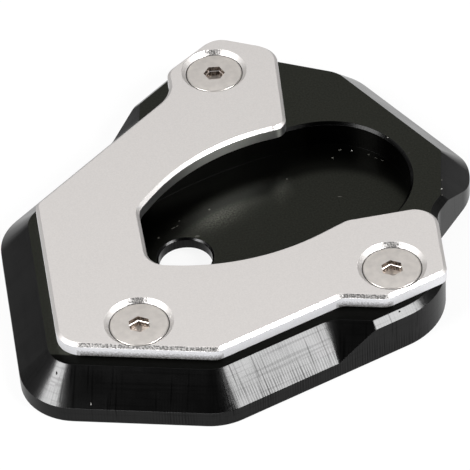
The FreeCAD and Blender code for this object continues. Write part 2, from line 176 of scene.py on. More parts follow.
# Specks that lie on the part, in mm and degrees: place, length, width, turn in its own plane,
# lean of that plane from level, and the way that it faces.
DUST = (
    (42.09, -4.50, 10.0, 0.45, 0.35, 20, 0, 0),
    (34.06, 13.57, 9.9, 0.35, 0.25, 30, 0, 0),
    (26.3, 14.15, 7.0, 0.3, 0.4, 0, 90, 146),
    (-37.16, -46.79, 4.57, 0.15, 0.6, 0, 45, -14),
)
LINT = (
    (-5.72, 5.26, 4.0, 0.5, 0.5, 0, 0, 0),
    (-12.43, 3.04, 4.0, 0.5, 0.25, 50, 0, 0),
    (-13.97, 1.17, 4.0, 1.1, 0.25, 25, 0, 0),
    (-13.06, 1.61, 4.0, 0.6, 0.2, 30, 0, 0),
    (-17.41, -1.18, 4.0, 0.6, 0.5, 50, 0, 0),
    (-9.37, -2.30, 4.0, 1.1, 0.6, 0, 0, 0),
    (24.41, 18.25, 4.0, 0.8, 0.3, 10, 0, 0),
    (22.43, 16.06, 4.0, 0.5, 0.5, 0, 0, 0),
    (30.16, 15.58, 4.0, 0.5, 0.4, 0, 0, 0),
    (31.48, 14.15, 4.0, 0.9, 0.12, -30, 0, 0),
    (32.69, 13.09, 4.0, 0.9, 0.12, -35, 0, 0),
    (21.89, 3.79, 4.0, 1.2, 0.16, 0, 0, 0),
    (11.82, 11.40, 4.0, 0.4, 0.4, 0, 0, 0),
    (42.61, -1.86, 10.0, 0.5, 0.3, 70, 0, 0),
    (41.78, -6.39, 10.0, 0.4, 0.3, 70, 0, 0),
    (-6.03, 18.08, 12.93, 0.3, 0.25, 0, 0, 0),
)
GRIT = (
    (-43.04, -40.61, 8.35, 0.4, 0.8, 30, 45, -50),
    (26.86, -38.16, 9.66, 0.5, 0.4, 0, 45, 21),
    (37.43, 7.78, 10.0, 0.5, 0.7, -35, 0, 0),
)


# Tools that the pieces share

def leave_edit_mode():
    if bpy.context.object and bpy.context.object.mode != "OBJECT":
        bpy.ops.object.mode_set(mode="OBJECT")


def pick(*pieces):
    """Selects only these pieces and makes the first one active."""
    leave_edit_mode()
    bpy.ops.object.select_all(action="DESELECT")
    for piece in pieces:
        piece.select_set(True)
    bpy.context.view_layer.objects.active = pieces[0]


def edit_whole():
    """Opens the active piece in edit mode with all of it selected."""
    bpy.ops.object.mode_set(mode="EDIT")
    bpy.ops.mesh.select_all(action="SELECT")


def discard(piece):
    pick(piece)
    bpy.ops.object.delete()


def apply_modifiers(piece):
    pick(piece)
    for name in [modifier.name for modifier in piece.modifiers]:
        bpy.ops.object.modifier_apply(modifier=name)


def merged_copy(node, name):
    """A copy of a CAD node's mesh with its triangles joined up and its flats made whole."""
    piece = bpy.data.objects.new(name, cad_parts[node].data.copy())
    bpy.context.scene.collection.objects.link(piece)
    piece.data.name = name
    piece.data.materials.clear()
    pick(piece)
    bpy.ops.mesh.customdata_custom_splitnormals_clear()
    edit_whole()
    bpy.ops.mesh.remove_doubles(threshold=0.001 * MM)
    bpy.ops.mesh.dissolve_limited(angle_limit=math.radians(0.3))
    leave_edit_mode()
    return piece


def round_edges(piece, width, sharp=30.0):
    """Rounds every edge that is sharper than an angle in degrees back by a width, and shades
    curves smooth and flats flat."""
    pick(piece)
    bpy.ops.object.shade_smooth_by_angle(angle=math.radians(sharp))
    rounding = piece.modifiers.new("rounding", "BEVEL")
    rounding.width = width
    rounding.segments = 2
    rounding.limit_method = "ANGLE"
    rounding.angle_limit = math.radians(sharp)
    rounding.use_clamp_overlap = False
    rounding.miter_outer = "MITER_ARC"
    shading = piece.modifiers.new("shading", "WEIGHTED_NORMAL")
    shading.keep_sharp = True
    shading.weight = 100
    apply_modifiers(piece)


def new_map(piece):
    layer = piece.data.uv_layers.new(name=FINISH_MAP)
    piece.data.uv_layers.active = layer
    return layer


def map_along_edges(piece):
    """A UV map in metres: across a slope it runs along the edge and up the slope, on a flat
    it runs along X and Y."""
    steepest_flat = 0.95     # upward share of its normal
    layer = new_map(piece)
    for face in piece.data.polygons:
        normal = face.normal
        level = math.hypot(normal.x, normal.y)
        flat = abs(normal.z) > steepest_flat
        for corner in face.loop_indices:
            place = piece.data.vertices[piece.data.loops[corner].vertex_index].co
            if flat:
                layer.data[corner].uv = (place.x, place.y)
            else:
                along = (place.y * normal.x - place.x * normal.y) / level
                layer.data[corner].uv = (along, place.z / level)


def mark_milled(piece, heel, toe, reach):
    """A face attribute that is 1 on the plate's bevels and round its opening, where it was
    milled after blasting, and 0 on its flats and outer sides. The opening is all that lies
    within a reach of the line from heel to toe."""
    least_slope, least_wall, upright = 0.25, 0.5, 0.97     # level share of a face's normal
    marks = piece.data.attributes.new(MILLED, "FLOAT", "FACE")
    for face in piece.data.polygons:
        level = math.hypot(face.normal.x, face.normal.y)
        sloped = least_slope < level < upright
        share = (face.center.xy - heel).dot(toe - heel) / (toe - heel).length_squared
        nearest = heel.lerp(toe, min(1.0, max(0.0, share)))
        opening = level > least_wall and (face.center.xy - nearest).length < reach
        marks.data[face.index].value = 1.0 if sloped or opening else 0.0


def own_copy(piece, name):
    """A copy of a piece with a mesh of its own."""
    copy = piece.copy()
    copy.data = piece.data.copy()
    copy.name = name
    bpy.context.scene.collection.objects.link(copy)
    return copy


def join_smooth(pieces, name):
    """Joins pieces into one smooth piece."""
    pick(*pieces)
    bpy.ops.object.join()
    piece = bpy.context.object
    piece.name = name
    bpy.ops.object.transform_apply(location=True, rotation=True, scale=True)
    bpy.ops.object.shade_smooth()
    return piece


def hand_in(piece, slot, material, *nodes):
    """Hangs the piece on the root body, gives it its material and hides the nodes it stands for.
    The slot is not used.
    """
    piece.data.materials.append(material)
    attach(piece, "root")
    if nodes:
        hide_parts(*nodes)


# Materials

def add_node(tree, kind, settings=None, links=None):
    """Adds a node, sets its properties and inputs, and links inputs to the outputs of other
    nodes. A node that is given in an output's place stands for its first output."""
    node = tree.nodes.new(kind)
    for key, value in (settings or {}).items():
        if isinstance(key, str) and hasattr(node, key):
            setattr(node, key, value)
        else:
            node.inputs[key].default_value = value
    for key, source in (links or {}).items():
        output = source.outputs[0] if isinstance(source, bpy.types.Node) else source
        tree.links.new(output, node.inputs[key])
    return node


def new_material(name):
    """An empty material, its node tree, and the place of a point on the piece in metres."""
    material = bpy.data.materials.new(name)
    material.use_nodes = True
    tree = material.node_tree
    tree.nodes.clear()
    return material, tree, add_node(tree, "ShaderNodeTexCoord").outputs["Object"]


def finish_material(tree, shader):
    add_node(tree, "ShaderNodeOutputMaterial", links={"Surface": shader})


def opaque(colour):
    return (*colour, 1.0)


def normal_parts(tree):
    """X, Y and Z of the way that the surface faces."""
    surface = add_node(tree, "ShaderNodeNewGeometry")
    return add_node(tree, "ShaderNodeSeparateXYZ", links={"Vector": surface.outputs["True Normal"]})


def outside(tree, place, sides):
    """How far a point lies outside a corner, in metres, from each side's heading in degrees
    and its distance from the origin in mm."""
    distances = []
    for heading, reach in sides:
        angle = math.radians(heading)
        across = add_node(tree, "ShaderNodeVectorMath",
                          {"operation": "DOT_PRODUCT", 1: (math.sin(angle), -math.cos(angle), 0)},
                          {0: place})
        distances.append(add_node(tree, "ShaderNodeMath", {"operation": "SUBTRACT", 1: reach * MM},
                                  {0: across.outputs["Value"]}))
    return add_node(tree, "ShaderNodeMath", MAXIMUM, dict(enumerate(distances)))


def cutter_marks(tree, parts, patches):
    """Shade of the milled slopes, from the parts of a point's place and the patches in which
    the tooth marks are strong."""
    sizes = bpy.context.scene.finish_sizes
    along = add_node(tree, "ShaderNodeUVMap", {"uv_map": FINISH_MAP})
    # Cutter passes: dark lines that run with the edge.
    passes = add_node(tree, "ShaderNodeMapping",
                      {"Scale": (per_metre(22.0), per_metre(sizes.pass_spacing / MM), 1.0)},
                      {"Vector": along})
    streaks = add_node(tree, "ShaderNodeTexNoise", {"Scale": 1.0, "Detail": 3.0},
                       {"Vector": passes})
    lines = add_node(tree, "ShaderNodeMapRange",
                     {"From Min": 0.36, "From Max": 0.46, "To Min": 0.76, "To Max": 0.95},
                     {"Value": streaks})
    # A few long scores run up the slope.
    scored = add_node(tree, "ShaderNodeMapping",
                      {"Scale": (per_metre(0.45), per_metre(16.0), 1.0)}, {"Vector": along})
    scores = add_node(tree, "ShaderNodeTexNoise", {"Scale": 1.0, "Detail": 1.0},
                      {"Vector": scored})
    score_shade = add_node(tree, "ShaderNodeMapRange",
                           {"From Min": 0.28, "From Max": 0.4, "To Min": 0.5}, {"Value": scores})
    lengthwise = add_node(tree, "ShaderNodeMath", MULTIPLY, {0: lines, 1: score_shade})
    # Tooth marks: short, fine and evenly spaced, strong in some patches and low on the slope,
    # and weak near the left end.
    once_per_unit = math.pi / 10     # scale at which a wave texture repeats once per unit
    teeth = add_node(tree, "ShaderNodeMapping",
                     {"Scale": (per_metre(sizes.tick_spacing / MM), per_metre(7.0), 1.0)},
                     {"Vector": along})
    ticks = add_node(tree, "ShaderNodeTexWave",
                     {"Scale": once_per_unit, "Distortion": 3.0, "Detail": 2.0,
                      "Detail Scale": 2.0}, {"Vector": teeth})
    tick_shade = add_node(tree, "ShaderNodeMapRange", {"To Min": 0.55, "To Max": 1.2},
                          {"Value": ticks.outputs["Fac"]})
    strongest = add_node(tree, "ShaderNodeMapRange",
                         {"From Min": -32 * MM, "From Max": -16 * MM, "To Min": 0.3},
                         {"Value": parts.outputs["X"]})
    patchy = add_node(tree, "ShaderNodeMapRange", {"From Min": 0.3, "From Max": 0.6},
                      {"Value": patches, "To Max": strongest})
    low = add_node(tree, "ShaderNodeMapRange",
                   {"From Min": 5.4 * MM, "From Max": 6.8 * MM, "To Min": 1.0, "To Max": 0.4},
                   {"Value": parts.outputs["Z"]})
    strength = add_node(tree, "ShaderNodeMath", MULTIPLY, {0: patchy, 1: low})
    strong_ticks = add_node(tree, "ShaderNodeMix", {**NUMBERS, NUMBER_A: 1.0},
                            {"Factor": strength, NUMBER_B: tick_shade})
    return add_node(tree, "ShaderNodeMath", MULTIPLY, {0: lengthwise, 1: strong_ticks})


def pocket_painted_shade(tree, place, parts):
    """Painted shade: the pocket's wall and rim are painted darker than the outer slopes, and the
    corner where the wall meets the floor is painted darkest."""
    corner = add_node(tree, "ShaderNodeMath",
                      {"operation": "COMPARE", 1: 4.02 * MM, 2: 0.019 * MM},
                      {0: parts.outputs["Z"]})
    wall = add_node(tree, "ShaderNodeMapRange", {"To Min": 0.6, "To Max": 0.1},
                    {"Value": corner})
    inner = add_node(tree, "ShaderNodeMapRange",
                     {"From Min": 9.0 * MM, "From Max": 9.3 * MM, "To Max": 0.22},
                     {"Value": parts.outputs["Z"], "To Min": wall})
    pocket_middle = Vector((5.35, -1.2, 7.0)) * MM
    from_pocket = add_node(tree, "ShaderNodeVectorMath",
                           {"operation": "DISTANCE", 1: pocket_middle}, {0: place})
    return add_node(tree, "ShaderNodeMapRange", {"From Min": 32.3 * MM, "From Max": 32.8 * MM},
                    {"Value": from_pocket.outputs["Value"], "To Min": inner})


def ledge_painted_shade(tree, place):
    """Painted shade: the ledge in front of the plate is painted near black, standing in for its
    reflection of the plate's dark foot.
    """
    front, flank = -14.1, 21.2     # headings of the two sides that meet there, in degrees
    wide = outside(tree, place, ((front, 46.4), (flank, 38.05)))
    lobe = outside(tree, place, ((front, 29.85), (flank, 43.45)))
    nearest = add_node(tree, "ShaderNodeMath", {"operation": "MINIMUM"}, {0: wide, 1: lobe})
    return add_node(tree, "ShaderNodeMapRange",
                    {"From Min": -0.2 * MM, "From Max": 0.1 * MM, "To Min": 1.0, "To Max": 0.08},
                    {"Value": nearest})


def floor_painted_shade(tree, place):
    """Painted shade: the pocket's floor is painted near black where it would mirror its own far
    wall, and kept brighter inside two wide circles."""
    fading = 1.6     # half the width of each circle's soft rim, in mm
    lit = []
    for x, y, radius in ((19.2, -5.3, 17.5), (12.0, -30.0, 37.6)):
        from_middle = add_node(tree, "ShaderNodeVectorMath",
                               {"operation": "DISTANCE", 1: Vector((x, y, 4.0)) * MM}, {0: place})
        lit.append(add_node(tree, "ShaderNodeMapRange",
                            {"interpolation_type": "SMOOTHSTEP",
                             "From Min": (radius - fading) * MM,
                             "From Max": (radius + fading) * MM,
                             "To Min": 0.87, "To Max": 0.2},
                            {"Value": from_middle.outputs["Value"]}))
    return add_node(tree, "ShaderNodeMath", MAXIMUM, dict(enumerate(lit)))


def scuff_share(tree, place, grain, floor_painted_light):
    """How far the stand's foot has scuffed the pocket's floor beside the drain, in crumbs that
    follow the grain and show only where the floor's painted light lets them."""
    scuffs = []
    for x, y, turn, length, width, strength in ((-3.4, 2.2, 27, 6.8, 3.2, 0.3),
                                                (9.5, 6.6, 75, 3.0, 1.6, 0.12)):
        patch = add_node(tree, "ShaderNodeMapping",
                         {"vector_type": "TEXTURE", "Location": Vector((x, y, 4.0)) * MM,
                          "Rotation": (0, 0, math.radians(turn)),
                          "Scale": Vector((length, width, 1.0)) * MM}, {"Vector": place})
        from_scuff = add_node(tree, "ShaderNodeVectorMath", {"operation": "LENGTH"}, {0: patch})
        scuffs.append(add_node(tree, "ShaderNodeMapRange",
                               {"From Min": 0.2, "To Min": strength, "To Max": 0.0},
                               {"Value": from_scuff.outputs["Value"]}))
    scuff = add_node(tree, "ShaderNodeMath", {"operation": "ADD"}, dict(enumerate(scuffs)))
    crumbs = add_node(tree, "ShaderNodeMapRange", {"From Min": 0.4, "From Max": 0.62},
                      {"Value": grain})
    crumbled = add_node(tree, "ShaderNodeMath", MULTIPLY, {0: scuff, 1: crumbs})
    return add_node(tree, "ShaderNodeMath", MULTIPLY, {0: crumbled, 1: floor_painted_light})


def black_anodised_milled():
    """Black anodised aluminium, milled. The black-dyed oxide hides the metal's brightness, so
    the eye sees a near black that is pale only where it mirrors a lamp or is seen at a low
    angle, with the cutter's streaks showing in those reflections."""
    colours = bpy.context.scene.finish_colours
    material, tree, place = new_material("black_anodised_milled")
    parts = add_node(tree, "ShaderNodeSeparateXYZ", links={"Vector": place})
    patches = add_node(tree, "ShaderNodeTexNoise", {"Scale": per_metre(7.0), "Detail": 2.0},
                       {"Vector": place})
    crossed = cutter_marks(tree, parts, patches)
    # Painted shade: the slopes' colour is darkened on the pocket's wall and rim.
    slopes = add_node(tree, "ShaderNodeMath", MULTIPLY,
                      {0: crossed, 1: pocket_painted_shade(tree, place, parts)})
    # Flats: a fine grain without direction.
    grain = add_node(tree, "ShaderNodeTexNoise", {"Scale": per_metre(0.4), "Detail": 3.0},
                     {"Vector": place})
    grain_shade = add_node(tree, "ShaderNodeMapRange",
                           {"From Min": 0.3, "From Max": 0.7, "To Min": 0.8, "To Max": 1.2},
                           {"Value": grain})
    # Painted shade on the flats: the pocket's floor and the ledge in front of the plate are
    # darkened where they would mirror dark walls.
    floor_painted_light = floor_painted_shade(tree, place)
    top = add_node(tree, "ShaderNodeMath", {"operation": "GREATER_THAN", 1: 7 * MM},
                   {0: parts.outputs["Z"]})
    painted_reflection = add_node(tree, "ShaderNodeMix", NUMBERS,
                        {"Factor": top, NUMBER_A: floor_painted_light, NUMBER_B: ledge_painted_shade(tree, place)})
    flats = add_node(tree, "ShaderNodeMath", MULTIPLY, {0: grain_shade, 1: painted_reflection})
    flat = add_node(tree, "ShaderNodeMapRange", {"From Min": 0.985, "From Max": 0.998},
                    {"Value": normal_parts(tree).outputs["Z"]})
    marks = add_node(tree, "ShaderNodeMix", NUMBERS,
                     {"Factor": flat, NUMBER_A: slopes, NUMBER_B: flats})
    dye = add_node(tree, "ShaderNodeMix",
                   {**COLOURS, COLOUR_A: opaque(colours.black),
                    COLOUR_B: opaque(colours.black_flat)}, {"Factor": flat})
    worn = add_node(tree, "ShaderNodeMix", TINTING,
                    {COLOUR_A: dye.outputs[COLOUR], COLOUR_B: marks})
    coat = add_node(tree, "ShaderNodeMix", {**COLOURS, COLOUR_B: opaque(linear("#77756C"))},
                    {"Factor": scuff_share(tree, place, grain, floor_painted_light),
                     COLOUR_A: worn.outputs[COLOUR]})
    milled_sheen = add_node(tree, "ShaderNodeMapRange",
                            {"From Min": 0.3, "From Max": 0.7, "To Min": 0.19, "To Max": 0.24},
                            {"Value": patches})
    roughness = add_node(tree, "ShaderNodeMix", {**NUMBERS, NUMBER_B: 0.33},
                         {"Factor": flat, NUMBER_A: milled_sheen})
    relief = add_node(tree, "ShaderNodeBump", {"Strength": 0.15, "Distance": 0.01 * MM},
                      {"Height": crossed})
    shader = add_node(tree, "ShaderNodeBsdfPrincipled", {"Metallic": 1.0},
                      {"Base Color": coat.outputs[COLOUR], "Roughness": roughness,
                       "Normal": relief})
    finish_material(tree, shader)
    return material


def clear_anodised_blasted():
    """Clear anodised aluminium, bead blasted and then milled at its edges. The blasting
    scatters the metal's reflection into an even pale satin, and the cut bevels stay brighter."""
    colours = bpy.context.scene.finish_colours
    material, tree, place = new_material("clear_anodised_blasted")
    along = add_node(tree, "ShaderNodeUVMap", {"uv_map": FINISH_MAP})
    # Blasting grain is about 0.1 mm, drawn three times as coarse so that it shows.
    grain = add_node(tree, "ShaderNodeTexNoise", {"Scale": per_metre(0.3), "Detail": 2.0},
                     {"Vector": place})
    # The cutter chattered on the bevels that face forward and left rows of pits about 0.2 mm
    # wide, drawn twice as coarse so that they show.
    teeth = add_node(tree, "ShaderNodeMapping",
                     {"Scale": (per_metre(0.4), per_metre(0.36), 1.0)}, {"Vector": along})
    ticks = add_node(tree, "ShaderNodeTexNoise", {"Scale": 1.0, "Detail": 1.0},
                     {"Vector": teeth})
    facing = normal_parts(tree)
    forward = add_node(tree, "ShaderNodeMapRange", {"From Min": -0.57, "From Max": -0.66},
                       {"Value": facing.outputs["Y"]})
    sloping = add_node(tree, "ShaderNodeMath", {"operation": "GREATER_THAN", 1: 0.3},
                       {0: facing.outputs["Z"]})
    chatter = add_node(tree, "ShaderNodeMath", MULTIPLY, {0: forward, 1: sloping})
    marks = add_node(tree, "ShaderNodeMix", NUMBERS,
                     {"Factor": chatter, NUMBER_A: grain, NUMBER_B: ticks})
    depth = add_node(tree, "ShaderNodeMix", {**NUMBERS, NUMBER_A: 0.02, NUMBER_B: 1.0},
                     {"Factor": chatter})
    relief = add_node(tree, "ShaderNodeBump", {"Distance": 0.04 * MM},
                      {"Height": marks, "Strength": depth})
    # Cut walls are smooth, and bevels are rougher where the cutter ran evenly.
    milled = add_node(tree, "ShaderNodeAttribute", {"attribute_name": MILLED}).outputs["Fac"]
    bevel_sheen = add_node(tree, "ShaderNodeMix", {**NUMBERS, NUMBER_A: 0.58, NUMBER_B: 0.34},
                           {"Factor": chatter})
    cut_sheen = add_node(tree, "ShaderNodeMix", {**NUMBERS, NUMBER_A: 0.32},
                         {"Factor": sloping, NUMBER_B: bevel_sheen})
    roughness = add_node(tree, "ShaderNodeMix", {**NUMBERS, NUMBER_A: 0.8},
                         {"Factor": milled, NUMBER_B: cut_sheen})
    even = add_node(tree, "ShaderNodeMapRange",
                    {"From Min": 0.3, "From Max": 0.7, "To Min": 0.97, "To Max": 1.03},
                    {"Value": grain})
    pitted = add_node(tree, "ShaderNodeMapRange",
                      {"From Min": 0.4, "From Max": 0.58, "To Min": 0.4, "To Max": 1.35},
                      {"Value": ticks})
    tint = add_node(tree, "ShaderNodeMix", NUMBERS,
                    {"Factor": chatter, NUMBER_A: even, NUMBER_B: pitted})
    # Painted light: the sheet's upright sides take a brighter and less warm colour than its
    # blasted top, standing in for the light that they get.
    painted_bright_sides = add_node(tree, "ShaderNodeMix",
                    {**COLOURS, COLOUR_A: opaque(colours.sides), COLOUR_B: opaque(colours.clear)},
                    {"Factor": sloping})
    metal = add_node(tree, "ShaderNodeMix", TINTING,
                     {COLOUR_A: painted_bright_sides.outputs[COLOUR], COLOUR_B: tint})
    # Painted shade: darker towards the lower edge of the plate's front, where it meets the black
    # base.
    parts = add_node(tree, "ShaderNodeSeparateXYZ", links={"Vector": place})
    ragged_shade_top = add_node(tree, "ShaderNodeMath",
                      {"operation": "MULTIPLY_ADD", 1: 1.6 * MM, 2: 9.9 * MM}, {0: ticks})
    above = add_node(tree, "ShaderNodeMath", {"operation": "SUBTRACT"},
                     {0: parts.outputs["Z"], 1: ragged_shade_top})
    unshaded = add_node(tree, "ShaderNodeMapRange", {"From Min": -0.8 * MM, "From Max": 0.8 * MM},
                     {"Value": above})
    aside = add_node(tree, "ShaderNodeMapRange", {"From Min": -0.965, "From Max": -0.945},
                     {"Value": facing.outputs["Y"]})
    elsewhere = add_node(tree, "ShaderNodeMath", MAXIMUM, {0: aside, 1: milled})
    spared = add_node(tree, "ShaderNodeMath", MAXIMUM, {0: unshaded, 1: elsewhere})
    foot = add_node(tree, "ShaderNodeMix", {**COLOURS, COLOUR_A: opaque(linear("#64625F"))},
                    {"Factor": spared, COLOUR_B: metal.outputs[COLOUR]})
    shader = add_node(tree, "ShaderNodeBsdfPrincipled", {"Metallic": 1.0},
                      {"Base Color": foot.outputs[COLOUR], "Roughness": roughness,
                       "Normal": relief})
    finish_material(tree, shader)
    return material


def stainless_turned():
    """Stainless steel, turned and tumbled. It is a little darker and warmer than the plate,
    with faint rings from the lathe round each head."""
    colours = bpy.context.scene.finish_colours
    material, tree, place = new_material("stainless_turned")
    centred = add_node(tree, "ShaderNodeUVMap", {"uv_map": FINISH_MAP})
    radius = add_node(tree, "ShaderNodeVectorMath", {"operation": "LENGTH"}, {0: centred})
    # Feed marks of the lathe are about 0.1 mm apart, drawn at 0.4 mm so that they show.
    feed = add_node(tree, "ShaderNodeMath", {**MULTIPLY, 1: per_metre(0.4)},
                    {0: radius.outputs["Value"]})
    rings = add_node(tree, "ShaderNodeTexNoise", {"noise_dimensions": "1D", "Scale": 1.0},
                     {"W": feed})
    relief = add_node(tree, "ShaderNodeBump", {"Strength": 0.12, "Distance": 0.02 * MM},
                      {"Height": rings})
    stains = add_node(tree, "ShaderNodeTexNoise", {"Scale": per_metre(1.5), "Detail": 3.0},
                      {"Vector": place})
    tint = add_node(tree, "ShaderNodeMapRange",
                    {"From Min": 0.3, "From Max": 0.7, "To Min": 0.92, "To Max": 1.04},
                    {"Value": stains})
    metal = add_node(tree, "ShaderNodeMix", {**TINTING, COLOUR_A: opaque(colours.steel)},
                     {COLOUR_B: tint})
    # The rim and the socket's ledge were turned last and are smoother than the face.
    roughness = add_node(tree, "ShaderNodeMapRange",
                         {"From Min": 0.96, "From Max": 0.985, "To Min": 0.36, "To Max": 0.6},
                         {"Value": normal_parts(tree).outputs["Z"]})
    shader = add_node(tree, "ShaderNodeBsdfPrincipled", {"Metallic": 1.0},
                      {"Base Color": metal.outputs[COLOUR], "Roughness": roughness,
                       "Normal": relief})
    finish_material(tree, shader)
    return material


def stainless_broached():
    """Stainless steel inside a socket: torn by the broach and darkened by oil, so it is brown
    and streaky, with a few bright lines."""
    material, tree, place = new_material("stainless_broached")
    stretched = add_node(tree, "ShaderNodeMapping",
                         {"Scale": (per_metre(0.3), per_metre(0.3), per_metre(1.4))},
                         {"Vector": place})
    tears = add_node(tree, "ShaderNodeTexNoise", {"Scale": 1.0, "Detail": 2.0},
                     {"Vector": stretched})
    contrast = add_node(tree, "ShaderNodeMapRange", {"From Min": 0.4, "From Max": 0.6},
                        {"Value": tears})
    oil = add_node(tree, "ShaderNodeMix",
                   {**COLOURS, COLOUR_A: opaque(linear("#5A504A")),
                    COLOUR_B: opaque(linear("#B4A89E"))}, {"Factor": contrast})
    relief = add_node(tree, "ShaderNodeBump", {"Strength": 0.6, "Distance": 0.05 * MM},
                      {"Height": tears})
    shader = add_node(tree, "ShaderNodeBsdfPrincipled", {"Metallic": 1.0, "Roughness": 0.42},
                      {"Base Color": oil.outputs[COLOUR], "Normal": relief})
    finish_material(tree, shader)
    return material


def lint(name, tone):
    """Dust and lint: matt and fibrous, without any gloss, paler than the metal under it."""
    material, tree, place = new_material(name)
    fibres = add_node(tree, "ShaderNodeTexNoise", {"Scale": per_metre(0.08), "Detail": 2.0},
                      {"Vector": place})
    shade = add_node(tree, "ShaderNodeMapRange", {"To Min": 0.5, "To Max": 1.1},
                     {"Value": fibres})
    colour = add_node(tree, "ShaderNodeMix", {**TINTING, COLOUR_A: opaque(tone)},
                      {COLOUR_B: shade})
    shader = add_node(tree, "ShaderNodeBsdfPrincipled", {"Roughness": 0.9},
                      {"Base Color": colour.outputs[COLOUR]})
    finish_material(tree, shader)
    return material


def grit():
    """Dark grit and pits: black specks that swallow the light. The same near-black material
    paints the shade in the gap round each screw's head.
    """
    material, tree, place = new_material("grit")
    crumbs = add_node(tree, "ShaderNodeTexNoise", {"Scale": per_metre(0.1)}, {"Vector": place})
    shade = add_node(tree, "ShaderNodeMix",
                     {**COLOURS, COLOUR_A: opaque(linear("#060606")),
                      COLOUR_B: opaque(linear("#1C1A18"))}, {"Factor": crumbs})
    shader = add_node(tree, "ShaderNodeBsdfPrincipled", {"Roughness": 0.95},
                      {"Base Color": shade.outputs[COLOUR]})
    finish_material(tree, shader)
    return material


def table_paper():
    """White table: the camera sees matt paper that the light has nearly burnt out, with the
    part's soft shadow. Every other ray sees a dim grey copy of the paper, and the metal's
    reflections see it glow: a painted glow, bright behind the part and dim in front of it
    and farther off."""
    colours = bpy.context.scene.finish_colours
    material, tree, place = new_material("table_paper")
    ray = add_node(tree, "ShaderNodeLightPath")
    seen = ray.outputs["Is Camera Ray"]
    # Painted light: the camera sees the table's own colour, every other ray a dim grey copy.
    tone = add_node(tree, "ShaderNodeMix",
                    {**COLOURS, COLOUR_A: opaque((0.2, 0.2, 0.2)),
                     COLOUR_B: opaque(colours.table)}, {"Factor": seen})
    paper = add_node(tree, "ShaderNodeBsdfDiffuse", links={"Color": tone.outputs[COLOUR]})
    white = add_node(tree, "ShaderNodeEmission", {"Color": (1.0, 1.0, 1.0, 1.0), "Strength": 1.0})
    parts = add_node(tree, "ShaderNodeSeparateXYZ", links={"Vector": place})
    # Painted glow that only the metal's reflections see: bright behind the part, fading away from
    # it.
    behind = add_node(tree, "ShaderNodeMapRange",
                      {"From Min": -0.07, "From Max": 0.06, "To Min": 0.3, "To Max": 0.85},
                      {"Value": parts.outputs["Y"]})
    reach = add_node(tree, "ShaderNodeVectorMath", {"operation": "DISTANCE", 1: (0.05, 0.0, 0.0)},
                     {0: place})
    near = add_node(tree, "ShaderNodeMapRange",
                    {"From Min": 0.09, "From Max": 0.21, "To Min": 1.0, "To Max": 0.0},
                    {"Value": reach.outputs["Value"]})
    bright = add_node(tree, "ShaderNodeMath", MULTIPLY, {0: behind, 1: near})
    painted_reflection = add_node(tree, "ShaderNodeMath", MULTIPLY,
                        {0: bright, 1: ray.outputs["Is Glossy Ray"]})
    burnt_out = 0.88     # share of the paper that the camera sees as plain white
    burnt = add_node(tree, "ShaderNodeMath", {**MULTIPLY, 1: burnt_out}, {0: seen})
    share = add_node(tree, "ShaderNodeMath", MAXIMUM, {0: burnt, 1: painted_reflection})
    mixed = add_node(tree, "ShaderNodeMixShader", links={"Fac": share, 1: paper, 2: white})
    finish_material(tree, mixed)
    return material


# Pieces

class STAND_OT_finish_base(bpy.types.Operator):
    """Milled base block with rounded edges and cutter marks"""
    bl_idname = "stand.finish_base"
    bl_label = "Finish base block"

    def execute(self, context):
        piece = merged_copy("base_plate", "base_block")
        round_edges(piece, context.scene.finish_sizes.base_edge)
        map_along_edges(piece)
        hand_in(piece, "black_anodised_aluminium", black_anodised_milled(), "base_plate")
        return {"FINISHED"}


class STAND_OT_finish_plate(bpy.types.Operator):
    """Clamp plate with a blasted face and cut edges"""
    bl_idname = "stand.finish_plate"
    bl_label = "Finish clamp plate"

    def execute(self, context):
        piece = merged_copy("clamp_plate", "clamp_sheet")
        round_edges(piece, context.scene.finish_sizes.plate_edge)
        map_along_edges(piece)
        heel, toe = Vector((-8.5, -5.8)) * MM, Vector((30.0, 3.4)) * MM
        mark_milled(piece, heel, toe, reach=22 * MM)
        hand_in(piece, "clear_anodised_aluminium", clear_anodised_blasted(), "clamp_plate")
        return {"FINISHED"}


def draw_down(profile, sides=96):
    """A round or many-sided solid: a disc drawn down through (radius, height) steps, in mm."""
    leave_edit_mode()
    radius, height = profile[0]
    bpy.ops.mesh.primitive_circle_add(vertices=sides, radius=radius * MM, fill_type="NGON",
                                      location=(0, 0, height * MM))
    piece = bpy.context.object
    bpy.ops.object.transform_apply(location=True, rotation=False, scale=False)
    edit_whole()
    for next_radius, next_height in profile[1:]:
        drop = (0, 0, (next_height - height) * MM)
        bpy.ops.mesh.extrude_region_move(TRANSFORM_OT_translate={"value": drop})
        share = next_radius / radius
        bpy.ops.transform.resize(value=(share, share, 1.0),
                                 center_override=(0, 0, next_height * MM))
        radius, height = next_radius, next_height
    bpy.ops.mesh.select_all(action="SELECT")
    bpy.ops.mesh.normals_make_consistent(inside=False)
    leave_edit_mode()
    return piece


def cut_away(piece, cutter):
    """Takes the cutter's volume out of the piece, and the cutter away."""
    cut = piece.modifiers.new("cut", "BOOLEAN")
    cut.operation = "DIFFERENCE"
    cut.solver = "EXACT"
    cut.object = cutter
    apply_modifiers(piece)
    discard(cutter)


